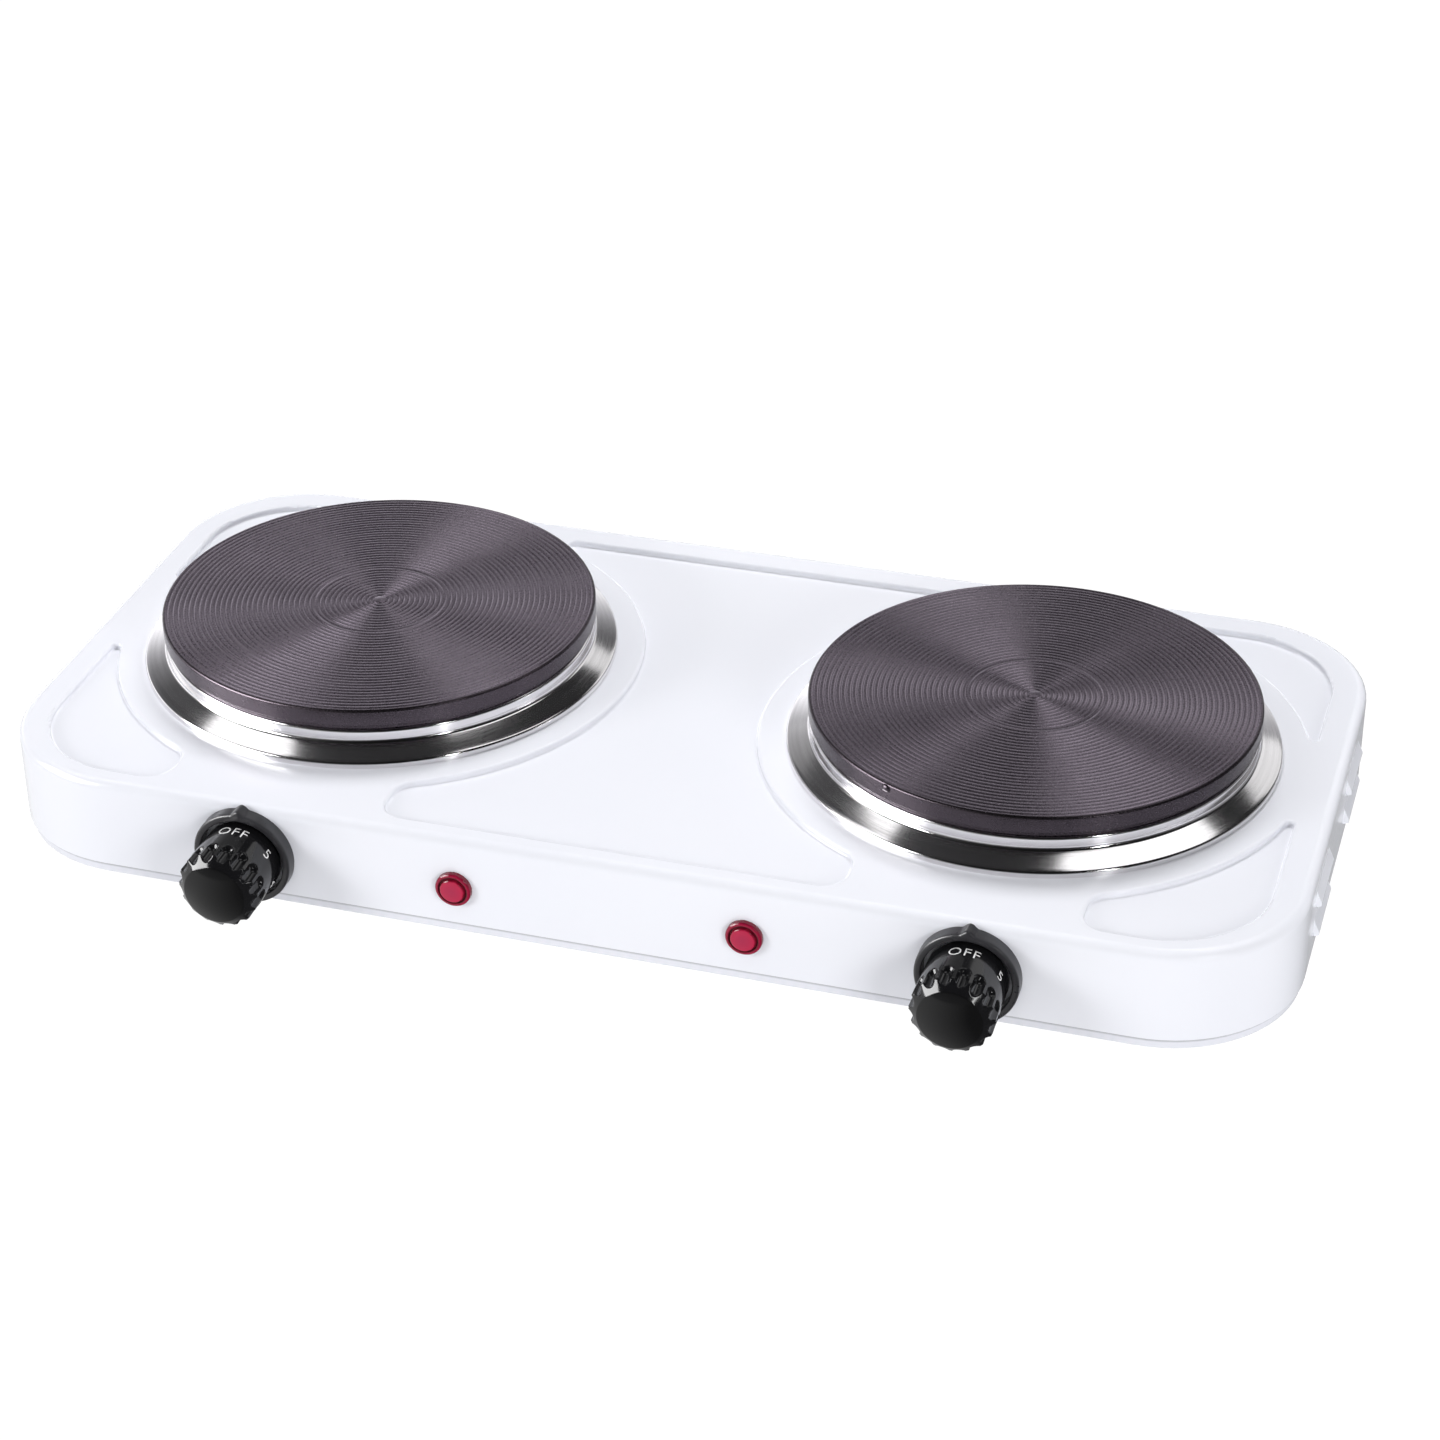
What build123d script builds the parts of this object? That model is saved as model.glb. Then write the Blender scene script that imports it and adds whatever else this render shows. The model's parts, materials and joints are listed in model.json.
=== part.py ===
from build123d import *
import math
import os

os.makedirs("parts", exist_ok=True)

# ---------------------------------------------------------------- driving dimensions (mm)
# Axes: X to the right, Y to the back, Z up. Everything is laid out about the middle of the
# pressed body and moved along Y at export, so that the whole object is centred on the origin.
BODY_L = 452.0          # body length, left to right
BODY_W = 220.0          # body width, front to back
CORNER_R = 47.0         # plan corner radius
FOOT_H = 8.0            # feet under the base pan
BAND_H = 4.0            # strip of base pan that shows under the housing
BODY_H = 37.0           # base pan underside to top deck
TOP_R = 3.5             # rounded edge between deck and walls
SHEET = 1.0             # housing sheet
PAN_T = 0.8             # base pan sheet
Z_PAN = FOOT_H
Z_WALL = FOOT_H + BAND_H
Z_TOP = FOOT_H + BODY_H
FRONT = -BODY_W / 2
BACK = BODY_W / 2

BURNER_X = 120.0        # burner centres, left and right of the middle
BURNER_Y = 4.0
PLATE_R = 77.5          # 155 mm cast-iron plate
PLATE_TOP = Z_TOP + 18.5
PLATE_EDGE = 7.2        # height of the plate's outer edge
GROOVES = 40
GROOVE_PITCH = 1.87
GROOVE_D = 0.42
HOLE_R = 75.0           # hole in the deck
RING_R = 85.0           # outer radius of the stainless ring
RING_T = 0.6

PAD_D = 2.1             # depth of the pressed panels in the deck
PAD_RB = 95.0           # panel edges run concentric with the burners at this radius
PAD_SIDE, PAD_FRONT, PAD_BACK = 12.0, 8.5, 12.5

KNOB_X = 125.0
KNOB_Z = FOOT_H + 18.6
KNOB_LEN = 29.5         # wall to the knob's front
KNOB_R = 13.7           # at the back edge; the grip flares to KNOB_TIP_R
KNOB_TIP_R = 14.2
KNOB_SCOOPS = 16
KNOB_TRAVEL = 300.0     # OFF to highest setting, degrees
BEZEL_R = 17.3
BEZEL_BORE = 14.9
PEG_U = 16.0            # bezel pegs, from the knob axis
BEZEL_D = 5.0
SPINDLE_R = 3.0
FIT = 0.05              # radial running clearance
CAM_R0, CAM_RISE = 5.2, 1.6
ARM_U, ARM_W = -14.0, 7.05      # arm pivot, from the knob axis
PIP_GAP = 0.17

LAMP_X = 50.3
LAMP_Z = FOOT_H + 18.0
LAMP_FLANGE_R = 6.3

FOOT_X, FOOT_Y = 182.0, 70.0
GLAND_Z = 28.0
GLAND_R = 6.0
GLAND_BORE = 3.75
GLAND_OUT = 3.5         # how far the gland stands out of the back wall
WIRE_R = 1.1
LEAD_R = 0.6

Y_SHIFT = -((FRONT - KNOB_LEN) + (BACK + GLAND_OUT)) / 2


def put(name, *solids):
    """Move the piece to its place and write it as one node."""
    flat = []
    for s in solids:
        flat.extend(s.solids())
    moved = [Pos(0, Y_SHIFT, 0) * s for s in flat]
    shape = moved[0] if len(moved) == 1 else Compound(children=moved)
    export_step(shape, f"parts/{name}.step")


def box(x0, x1, y0, y1, z0, z1):
    return Pos((x0 + x1) / 2, (y0 + y1) / 2, (z0 + z1) / 2) * Box(x1 - x0, y1 - y0, z1 - z0)


def cyl_z(x, y, z0, z1, r):
    return Pos(x, y, (z0 + z1) / 2) * Cylinder(r, z1 - z0)


def cyl_y(x, z, y0, y1, r):
    return Pos(x, (y0 + y1) / 2, z) * Rot(90, 0, 0) * Cylinder(r, y1 - y0)


def slab(length, width, radius, z0, z1):
    return extrude(Plane.XY.offset(z0) * RectangleRounded(length, width, radius), amount=z1 - z0)


def lathe_z(points):
    """Revolve a closed (r, z) outline about the Z axis."""
    outline = Polyline(*[(r, 0, z) for r, z in points], close=True)
    return revolve(make_face(outline), Axis.Z)


def lathe_y(points):
    """Revolve a closed (r, y) outline about the Y axis."""
    outline = Polyline(*[(r, y, 0) for r, y in points], close=True)
    return revolve(make_face(outline), Axis.Y)


def hex_nut(across, bore, z0, z1):
    body = extrude(Plane.XY.offset(z0) * RegularPolygon(across / 2, 6, major_radius=False), amount=z1 - z0)
    return body - cyl_z(0, 0, z0 - 1, z1 + 1, bore)


def wire(points, radius, bend):
    path = FilletPolyline(*points, radius=bend)
    start = Plane(origin=path @ 0, z_dir=path % 0)
    return sweep(start * Circle(radius), path=path)


def panel_screw(x, y, z_seat, z_tip, shank, head, head_h):
    """Pan-head screw entering upwards: head below z_seat, tip at z_tip."""
    body = lathe_z([(0, z_seat - head_h), (head * 0.72, z_seat - head_h), (head, z_seat - head_h * 0.55), (head, z_seat),
                    (shank, z_seat), (shank, z_tip - shank * 0.6), (shank * 0.4, z_tip), (0, z_tip)])
    cross = box(-head * 0.5, head * 0.5, -0.4, 0.4, z_seat - head_h - 1, z_seat - head_h * 0.45)
    body = body - cross - Rot(0, 0, 90) * cross
    return Pos(x, y, 0) * body


# ---------------------------------------------------------------- top housing
outer = slab(BODY_L, BODY_W, CORNER_R, Z_WALL, Z_TOP)
outer = fillet(outer.edges().group_by(Axis.Z)[-1], TOP_R)
inner = slab(BODY_L - 2 * SHEET, BODY_W - 2 * SHEET, CORNER_R - SHEET, Z_WALL - 5, Z_TOP - SHEET)
inner = fillet(inner.edges().group_by(Axis.Z)[-1], TOP_R - SHEET)
housing = outer - inner

# pressed panels: four corner crescents and one waisted panel between the burners
pad_w = BODY_W - PAD_FRONT - PAD_BACK
pad_plan = Pos(0, (PAD_FRONT - PAD_BACK) / 2) * RectangleRounded(BODY_L - 2 * PAD_SIDE, pad_w, CORNER_R - 11)
for s in (-1, 1):
    pad_plan = pad_plan - Pos(s * BURNER_X, BURNER_Y) * Circle(PAD_RB)
    pad_plan = pad_plan - Pos(s * 119, 0) * Rectangle(78, 2 * BODY_W)
pads = []
for f in pad_plan.faces():
    g = f
    for front, rad in ((True, 8.5), (False, 3.0)):
        ends = [v for v in g.vertices() if (v.Y < 0) == front and (abs(abs(v.X) - 80) < 0.1 or abs(abs(v.X) - 158) < 0.1)]
        if ends:
            g = g.fillet_2d(rad, ends)
    tips = [v for v in g.vertices() if abs(v.X) > 205 and abs(v.Y - BURNER_Y) < 30]
    if tips:
        g = g.fillet_2d(1.6, tips)
    pads.append(g)
for g in pads:
    under = offset(g, amount=SHEET)
    housing = housing + extrude(Pos(0, 0, Z_TOP - PAD_D - SHEET) * under, amount=PAD_D)
for g in pads:
    housing = housing - extrude(Pos(0, 0, Z_TOP - PAD_D) * g, amount=PAD_D + 1)
floor_edges = [e for e in housing.edges() if abs(e.bounding_box().min.Z - (Z_TOP - PAD_D)) < 1e-4 and abs(e.bounding_box().max.Z - (Z_TOP - PAD_D)) < 1e-4]
housing = fillet(floor_edges, 0.9)
rim_edges = [e for e in housing.edges() if abs(e.bounding_box().min.Z - Z_TOP) < 1e-4 and abs(e.bounding_box().max.Z - Z_TOP) < 1e-4
             and abs(e.center().Y) < BODY_W / 2 - TOP_R - 1 and abs(e.center().X) < BODY_L / 2 - TOP_R - 1]
rim_edges = [e for e in rim_edges if not (e.bounding_box().size.X > 300)]
corner_c = (BODY_L / 2 - CORNER_R, BODY_W / 2 - CORNER_R)
keep = []
for e in rim_edges:
    c = e @ 0.5
    dx, dy = abs(c.X) - corner_c[0], abs(c.Y) - corner_c[1]
    on_outline = (dx > 0 and dy > 0 and abs(math.hypot(dx, dy) - (CORNER_R - TOP_R)) < 0.05)
    if not on_outline:
        keep.append(e)
housing = fillet(keep, 1.1)

for s in (-1, 1):
    housing = housing - cyl_z(s * BURNER_X, BURNER_Y, Z_TOP - 8, Z_TOP + 5, HOLE_R)
    housing = housing - cyl_y(s * KNOB_X, KNOB_Z, FRONT - 1, FRONT + SHEET + 1, 5.1)
    for t in (-1, 1):
        housing = housing - cyl_y(s * KNOB_X + t * PEG_U, KNOB_Z, FRONT - 1, FRONT + SHEET + 1, 1.1)
    housing = housing - cyl_y(s * LAMP_X, LAMP_Z, FRONT - 1, FRONT + SHEET + 1, 5.0)
housing = housing - cyl_y(0, GLAND_Z, BACK - SHEET - 1, BACK + 1, GLAND_R)

# side louvres: two rows in two groups on each end wall, hoods open downwards
for s in (-1, 1):
    for yc in (-35.0, 35.0):
        for zc in (FOOT_H + 25.0, FOOT_H + 13.5):
            face = s * BODY_L / 2
            hood = extrude(Plane.XZ * make_face(Polyline((-0.5, 3.4), (0.0, 3.4), (1.9, -0.8), (1.9, -1.6), (-0.5, -1.6), close=True)), amount=15, both=True)
            hood = chamfer(hood.edges().filter_by(lambda e: abs(e.center().X - 0.95) < 0.3 and abs(abs(e.center().Y) - 15) < 1e-3 and e.center().Z > 0), 1.4)
            gap = extrude(Plane.XZ * make_face(Polyline((-2.0, 1.9), (0.0, 1.9), (1.15, -0.9), (1.15, -2.2), (0.0, -2.2), (0.0, -1.2), (-2.0, -1.2), close=True)), amount=13.2, both=True)
            if s < 0:
                hood, gap = mirror(hood, Plane.YZ), mirror(gap, Plane.YZ)
            housing = (housing + Pos(face, yc, zc) * hood) - Pos(face, yc, zc) * gap

# tabs inside the front and back walls that the base screws enter
tab_spots = [(-88.0, -1), (88.0, -1), (-150.0, 1), (150.0, 1)]
for x, side in tab_spots:
    wall = side * (BODY_W / 2 - SHEET)
    tab = box(x - 7, x + 7, -3.2, 0.2, 19, 27) + box(x - 7, x + 7, -3.2, -2.0, Z_PAN + PAN_T, 20) + box(x - 7, x + 7, -14, -2.0, Z_PAN + PAN_T, Z_PAN + PAN_T + 1.6)
    tab = tab - cyl_z(x, -8, 0, 20, 1.7)
    if side < 0:
        tab = mirror(tab, Plane.XZ)
    housing = housing + Pos(0, wall, 0) * tab
put("top_housing", housing)

# ---------------------------------------------------------------- base pan, feet, screws
pan_l, pan_w, pan_r = BODY_L - 2 * SHEET - 0.2, BODY_W - 2 * SHEET - 0.2, CORNER_R - SHEET - 0.1
pan = slab(pan_l, pan_w, pan_r, Z_PAN, Z_PAN + 9)
pan = fillet(pan.edges().group_by(Axis.Z)[0], 0.5)
pan_in = slab(pan_l - 2 * PAN_T, pan_w - 2 * PAN_T, pan_r - PAN_T, Z_PAN + PAN_T, Z_PAN + 20)
pan_in = fillet(pan_in.edges().group_by(Axis.Z)[0], 0.4)
pan = pan - pan_in
for s in (-1, 1):
    for i in range(-3, 4):          # cooling slots under each burner
        pan = pan - Pos(s * BURNER_X + i * 11, BURNER_Y, Z_PAN) * extrude(SlotOverall(46, 4, rotation=90), amount=4, both=True)
    for t in (-1, 1):
        pan = pan - cyl_z(s * FOOT_X, t * FOOT_Y, 0, 20, 2.0)
base_spots = []
for x, side in tab_spots:
    y = side * (BODY_W / 2 - SHEET) - side * 8
    base_spots.append((x, y))
    pan = pan - cyl_z(x, y, 0, 20, 1.9)
pan = pan - cyl_z(0, 40, 0, 20, 2.0)
for x in (-6, 6):
    pan = pan - cyl_z(x, 80, 0, 20, 1.6)
put("base_plate", pan)

foot = lathe_z([(2.2, 4.2), (4.6, 4.2), (4.6, 0), (8.6, 0), (9.2, 0.6), (10.6, 7.2), (10.6, FOOT_H), (2.2, FOOT_H)])
for name, sx, sy in (("foot_front_left", -1, -1), ("foot_front_right", 1, -1), ("foot_rear_left", -1, 1), ("foot_rear_right", 1, 1)):
    put(name, Pos(sx * FOOT_X, sy * FOOT_Y, 0) * foot)
put("foot_screws", *[panel_screw(sx * FOOT_X, sy * FOOT_Y, 4.2, 13.0, 2.0, 4.0, 2.4) for sx in (-1, 1) for sy in (-1, 1)])
put("base_screws", *[panel_screw(x, y, Z_PAN, 15.0, 1.7, 3.4, 2.0) for x, y in base_spots])

# ---------------------------------------------------------------- cord gland, terminal block, earth
gland = lathe_y([(GLAND_BORE, BACK - 7.5), (8.2, BACK - 7.5), (8.2, BACK - SHEET), (GLAND_R, BACK - SHEET), (GLAND_R, BACK),
                 (9.2, BACK), (9.2, BACK + 1.8), (7.6, BACK + GLAND_OUT), (GLAND_BORE + 0.6, BACK + GLAND_OUT), (GLAND_BORE, BACK + GLAND_OUT - 0.6)])
put("cord_gland", Pos(0, 0, GLAND_Z) * gland)

z_floor = Z_PAN + PAN_T
block = box(-21, 21, 71, 89, z_floor, z_floor + 16)
z_pole = 17.6
for x in (-12, 0, 12):
    block = block - box(x - 2.6, x + 2.6, 70, 90, z_pole - 1.3, z_pole + 1.3)
    for y in (75, 85):
        block = block - cyl_z(x, y, z_pole, 30, 1.9)
for x in (-6, 6):
    block = block - cyl_z(x, 80, 0, 30, 1.6)
put("terminal_block", block)
screws = []
for x in (-12, 0, 12):
    for y in (75, 85):
        sc = cyl_z(x, y, z_pole + WIRE_R, z_floor + 14.6, 1.9)
        screws.append(sc - box(x - 2, x + 2, y - 0.35, y + 0.35, z_floor + 13.6, 30))
for x in (-6, 6):
    sc = cyl_z(x, 80, 7.2, z_floor + 16, 1.6) + cyl_z(x, 80, z_floor + 16, z_floor + 17.4, 2.8)
    screws.append(sc - box(x - 3, x + 3, 79.65, 80.35, z_floor + 16.6, 40))
put("terminal_screws", *screws)

lug = box(-3.6, 3.6, 36, 47, z_floor, z_floor + 0.8) + cyl_z(0, 36, z_floor, z_floor + 0.8, 3.6) + cyl_z(0, 40, z_floor, z_floor + 0.8, 3.6)
lug = lug + cyl_y(0, z_floor + 2.0, 46, 54, 2.0) - cyl_y(0, z_floor + 2.0, 46.5, 60, WIRE_R) - cyl_z(0, 40, 0, 30, 2.0)
put("earth_lug", lug)
earth = lathe_z([(0, 5.4), (2.0, 5.4), (2.0, z_floor + 0.8), (3.8, z_floor + 0.8), (3.8, z_floor + 2.2), (2.6, z_floor + 3.2), (0, z_floor + 3.2)])
put("earth_screw", Pos(0, 40, 0) * earth)
put("earth_wire", wire([(0, 76, z_pole), (0, 64, z_pole), (0, 58, z_floor + 2.0), (0, 46.5, z_floor + 2.0)], WIRE_R, 3.0))

# ---------------------------------------------------------------- burners
z_sh = PLATE_TOP - PLATE_EDGE          # shoulder under the plate's edge
Z_CAV = PLATE_TOP - 8.5
Z_RIM = 47.0
profile = [(0, PLATE_TOP)]
r = 2.4
for i in range(GROOVES):
    profile += [(r, PLATE_TOP), (r + 0.48, PLATE_TOP - GROOVE_D), (r + 0.96, PLATE_TOP)]
    r += GROOVE_PITCH
for k in range(0, 6):
    a = math.radians(90 - 18 * k)
    profile.append((PLATE_R - 0.9 + 0.9 * math.cos(a), PLATE_TOP - 0.9 + 0.9 * math.sin(a)))
profile += [(PLATE_R, z_sh + 1.1), (PLATE_R - 1.1, z_sh), (73.0, z_sh), (73.0, Z_RIM), (67.0, Z_RIM), (67.0, Z_CAV), (13.0, Z_CAV), (13.0, 46.0), (0, 46.0)]
plate0 = lathe_z(profile)
plate0 = plate0 - cyl_z(0, 0, 40, 53, 3.0)

# stainless ring: lip under the plate's shoulder, upright wall, flange falling to a turned-down edge
t = RING_T
ring0 = lathe_z([(73.6, z_sh), (73.6, z_sh - t), (76.0, z_sh - t), (76.3, z_sh - t - 0.3), (76.3, 51.6), (76.5, 51.0), (77.0, 50.6), (83.6, 46.5), (84.2, 45.9), (84.4, Z_TOP),
                 (RING_R, Z_TOP), (RING_R, 46.2), (84.75, 46.8), (84.2, 47.25), (77.6, 51.35), (77.1, 51.75), (76.9, 52.3), (76.9, z_sh - 0.35), (76.6, z_sh)])

coils = []
for rad in (30.0, 44.0, 58.0):
    path = CenterArc((0, 0, 52.6), rad, 105, 330)
    coils.append(sweep(Plane(origin=path @ 0, z_dir=path % 0) * Circle(1.8), path=path))

PIN_U = (24.0, 40.0)      # heater pins, from the burner centre towards the middle
PIN_V = 34.0
wool0 = lathe_z([(13.3, 47.8), (66.6, 47.8), (66.6, 50.6), (13.3, 50.6)])
cover0 = lathe_z([(13.2, Z_RIM), (66.8, Z_RIM), (66.8, 47.8), (13.2, 47.8)])
stud0 = lathe_z([(0, 33), (2.2, 33), (3.0, 33.8), (3.0, 53), (0, 53)])
bridge_line = [(-84, 42.5), (-72, 42.5), (-46, 40), (46, 40), (72, 42.5), (84, 42.5), (84, 44), (71.9, 44), (45.9, 41.5), (-45.9, 41.5), (-71.9, 44), (-84, 44)]
bridge0 = extrude(Plane.XZ * make_face(Polyline(*bridge_line, close=True)), amount=10, both=True) - cyl_z(0, 0, 30, 50, 3.2)
stud_nut0 = hex_nut(10, 3.0, 33.9, 38.8)
washer0 = lathe_z([(3.2, 38.8), (8.0, 38.8), (8.0, 40.0), (3.2, 40.0)])
studs, nuts, pins = [], [], []
for side, s in (("left", -1), ("right", 1)):
    at = Pos(s * BURNER_X, BURNER_Y, 0)
    put(f"{side}_hot_plate", at * plate0)
    put(f"{side}_trim_ring", at * ring0)
    put(f"{side}_heating_coil", *[at * c for c in coils])
    pin_holes = [cyl_z(-s * u, PIN_V, 30, 50.7, 1.6) for u in PIN_U]
    wool, cover = wool0, cover0
    for p in pin_holes:
        wool, cover = wool - p, cover - p
    put(f"{side}_insulation", at * wool)
    put(f"{side}_cover_plate", at * cover)
    put(f"{side}_clamp_bridge", at * bridge0)
    mid = -s * sum(PIN_U) / 2
    ceramic = box(mid - 15, mid + 15, PIN_V - 6.5, PIN_V + 6.5, 38, Z_RIM)
    ceramic = fillet(ceramic.edges().filter_by(Axis.Z), 2.0)
    for p in pin_holes:
        ceramic = ceramic - p
    put(f"{side}_plate_terminal", at * ceramic)
    for u in PIN_U:
        pins.append(at * cyl_z(-s * u, PIN_V, 35.5, 50.6, 1.6))
    studs.append(at * stud0)
    nuts += [at * stud_nut0, at * washer0]
put("plate_studs", *studs)
put("stud_nuts", *nuts)
put("plate_pins", *pins)

# ---------------------------------------------------------------- heat regulators
# Local frame: u along X and w along Z from the knob axis, v inwards from the front wall's face.
W_TAB = (-6.15, -9.65)
bracket = box(-20, 20, 1.0, 2.2, -9.2, 13.2) + cyl_y(0, 0, -4.5, 2.2, 5.0)
bracket = bracket - cyl_y(0, 0, -10, 10, SPINDLE_R + FIT)
for tt in (-1, 1):
    bracket = bracket - cyl_y(tt * PEG_U, 0, -10, 10, 1.1)
case = box(-20, 20, 2.2, 25, -13, 15.5) - box(-18, 18, 0, 23, -20, 13.5)
case = case - cyl_y(0, 0, 20, 30, SPINDLE_R + FIT)
case = case + cyl_y(ARM_U, ARM_W, 5.5, 24, 1.0)
blades = []
for k, w in enumerate(W_TAB):
    blade = box(4, 9, 6, 32, w - 0.25, w + 0.25)
    button = cyl_z(6.5, 9, w - 0.25 - 0.9, w - 0.25, 1.5) if k == 0 else cyl_z(6.5, 9, w + 0.25, w + 0.25 + 1.2, 1.5)
    blades.append(blade + button)
    case = case - box(4, 9, 22, 26, w - 0.25, w + 0.25)

spindle = cyl_y(0, 0, -19.0, 24.5, SPINDLE_R) + cyl_y(0, 0, 2.6, 4.2, 4.5)
spindle = spindle - box(-5, 5, -20, -5.1, 1.8, 5)
cam_pts = []
for k in range(0, 59):
    th = KNOB_TRAVEL * k / 58
    a = math.radians(90 + th)
    rr = CAM_R0 + CAM_RISE * th / KNOB_TRAVEL
    cam_pts.append((rr * math.cos(a), rr * math.sin(a)))
for k in range(1, 7):
    f = k / 7
    a = math.radians(90 + KNOB_TRAVEL + (360 - KNOB_TRAVEL) * f)
    rr = CAM_R0 + CAM_RISE * (1 - f)
    cam_pts.append((rr * math.cos(a), rr * math.sin(a)))
cam = extrude(make_face(Polyline(*[(x, 0, z) for x, z in cam_pts], close=True)), amount=2, both=True, dir=(0, 1, 0))
spindle = spindle + Pos(0, 10, 0) * cam

arm = cyl_y(ARM_U, ARM_W, 7, 13, 2.0) + box(ARM_U, 12, 7, 13, ARM_W - 0.4, ARM_W + 0.4)
arm = arm + cyl_y(0, CAM_R0 + PIP_GAP + 1.0, 7, 13, 1.0) + cyl_z(9.5, 10, 4.6, 9.4, 1.2)
arm = arm - cyl_y(ARM_U, ARM_W, 0, 30, 1.0 + FIT)

bushing_nut = extrude(Plane.XZ * RegularPolygon(7.0, 6, major_radius=False), amount=2.5) - cyl_y(0, 0, -10, 10, 5.0)

# bezel: fixed collar round the knob with a raised pointer ridge at the top and two pegs
bezel = lathe_y([(BEZEL_BORE, 0), (BEZEL_R, 0), (BEZEL_R, -BEZEL_D + 1.0), (BEZEL_R - 0.7, -BEZEL_D), (BEZEL_BORE + 0.2, -BEZEL_D), (BEZEL_BORE, -BEZEL_D + 0.2)])
ridge = make_face(Polyline((-2.5, 0, BEZEL_R - 0.5), (-0.5, 0, BEZEL_R + 1.4), (0.5, 0, BEZEL_R + 1.4), (2.5, 0, BEZEL_R - 0.5), (2.0, 0, BEZEL_R - 1.6), (-2.0, 0, BEZEL_R - 1.6), close=True))
bezel = bezel + extrude(ridge, amount=BEZEL_D + 0.4, dir=(0, -1, 0))
for tt in (-1, 1):
    bezel = bezel + cyl_y(tt * PEG_U, 0, -0.5, 4.5, 1.1)

# knob: printed skirt, scooped grip, shallow dome, D-bore hub
dome = [(11.655 * k / 8, -KNOB_LEN + 2.637 * (k / 8) ** 2) for k in range(0, 9)]
front_edge = [(KNOB_TIP_R - 4.32 + 4.2 * math.cos(math.radians(a)), -23.6 - 3.6 * math.sin(math.radians(a))) for a in (0, 13, 26, 39, 52, 65)]
knob = lathe_y([(KNOB_R - 0.4, -2.0), (KNOB_R, -2.5), (KNOB_R, -9.0)] + front_edge + dome[::-1]
               + [(0, -23.5), (10.2, -23.5), (10.2, -11.0), (12.2, -10.0), (12.2, -2.0)])
hub = cyl_y(0, 0, -24.5, -5.3, 5.4)
bore = cyl_y(0, 0, -19.1, 0, SPINDLE_R) - box(-5, 5, -30, 5, 1.8, 5)
knob = knob + hub - bore
scoop_at, scoop_r, scoop_v = 15.8, 2.9, -19.0      # ball-ended scoops: axis radius, cutter radius, centre of the ball end
for k in range(KNOB_SCOOPS):
    cutter = cyl_y(scoop_at, 0, -KNOB_LEN - 2, scoop_v, scoop_r) + Pos(scoop_at, scoop_v, 0) * Sphere(scoop_r)
    knob = knob - Rot(0, 360.0 * (k + 0.5) / KNOB_SCOOPS, 0) * cutter

bush_nuts = []
for side, s in (("left", -1), ("right", 1)):
    at = Pos(s * KNOB_X, FRONT, KNOB_Z)
    put(f"{side}_regulator_bracket", at * bracket)
    put(f"{side}_regulator_case", at * case)
    put(f"{side}_contact_blades", *[at * b for b in blades])
    put(f"{side}_spindle", at * spindle)
    put(f"{side}_setting_arm", at * arm)
    put(f"{side}_bezel", at * bezel)
    put(f"{side}_knob", at * knob)
    bush_nuts.append(at * bushing_nut)
put("bushing_nuts", *bush_nuts)

# ---------------------------------------------------------------- pilot lamps
lens = lathe_y([(0, -2.95), (2.6, -2.9), (3.9, -2.7), (4.3, -2.2), (4.45, -1.6), (4.7, -1.6), (5.0, -2.0), (5.5, -2.1), (6.0, -1.8), (LAMP_FLANGE_R, -1.2), (LAMP_FLANGE_R, 0), (4.95, 0), (4.95, 11.0), (3.7, 11.0), (3.7, -1.2), (0, -1.2)])
bulb = lathe_y([(0, -0.6), (1.6, -0.3), (2.6, 0.8), (2.6, 10.0), (1.8, 12.5), (0, 12.5)])
clip = lathe_y([(4.95, 1.0), (8.6, 1.0), (8.6, 1.5), (6.4, 2.1), (4.95, 2.6)])
for k in range(6):
    clip = clip - Rot(0, 60 * k, 0) * box(5.6, 7.2, 0, 5, -0.5, 0.5)
clips = []
for side, s in (("left", -1), ("right", 1)):
    at = Pos(s * LAMP_X, FRONT, LAMP_Z)
    put(f"{side}_lamp_lens", at * lens)
    put(f"{side}_lamp_bulb", at * bulb)
    clips.append(at * clip)
put("lamp_clips", *clips)

# ---------------------------------------------------------------- wiring
y_tab = FRONT + 32
za, zb = KNOB_Z + W_TAB[0], KNOB_Z + W_TAB[1]
yp = BURNER_Y + PIN_V
for side, s in (("left", -1), ("right", 1)):
    xt = s * KNOB_X + 6.5
    p_in, p_out = s * (BURNER_X - PIN_U[1]), s * (BURNER_X - PIN_U[0])
    xl = 12 + s * 1.3
    put(f"{side}_live_wire", wire([(xt, y_tab, za), (xt, -62, za), (xl, -62, za), (xl, 44, za), (xl, 58, z_pole), (xl, 76, z_pole)], WIRE_R, 4.0))
    put(f"{side}_load_wire", wire([(xt, y_tab, zb), (xt, -54, zb), (p_out, -54, zb), (p_out, yp, zb), (p_out, yp, 35.5)], WIRE_R, 4.0))
    xn = -12 + s * 1.3
    put(f"{side}_neutral_wire", wire([(p_in, yp, 35.5), (p_in, yp, 24.5), (xn, yp, 24.5), (xn, 58, z_pole), (xn, 76, z_pole)], WIRE_R, 4.0))
    x0 = s * LAMP_X
    yb = FRONT + 12.5
    lead_a = wire([(x0 - s * 0.9, yb, LAMP_Z), (x0 - s * 0.9, -84, LAMP_Z), (x0 - s * 0.9, yp, 30.0), (p_in - s * 8, yp, 36.8), (p_in - s * 1.6, yp, 36.8)], LEAD_R, 3.0)
    lead_b = wire([(x0 + s * 0.9, yb, LAMP_Z), (x0 + s * 0.9, -90, LAMP_Z), (x0 + s * 30, -60, 29.0), (p_out + s * 10, yp - 20, 31.0), (p_out + s * 8, yp, 36.8), (p_out + s * 1.6, yp, 36.8)], LEAD_R, 3.0)
    put(f"{side}_lamp_leads", lead_a, lead_b)
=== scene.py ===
import json
import math
import bmesh
import bpy
from mathutils import Matrix, Vector


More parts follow.
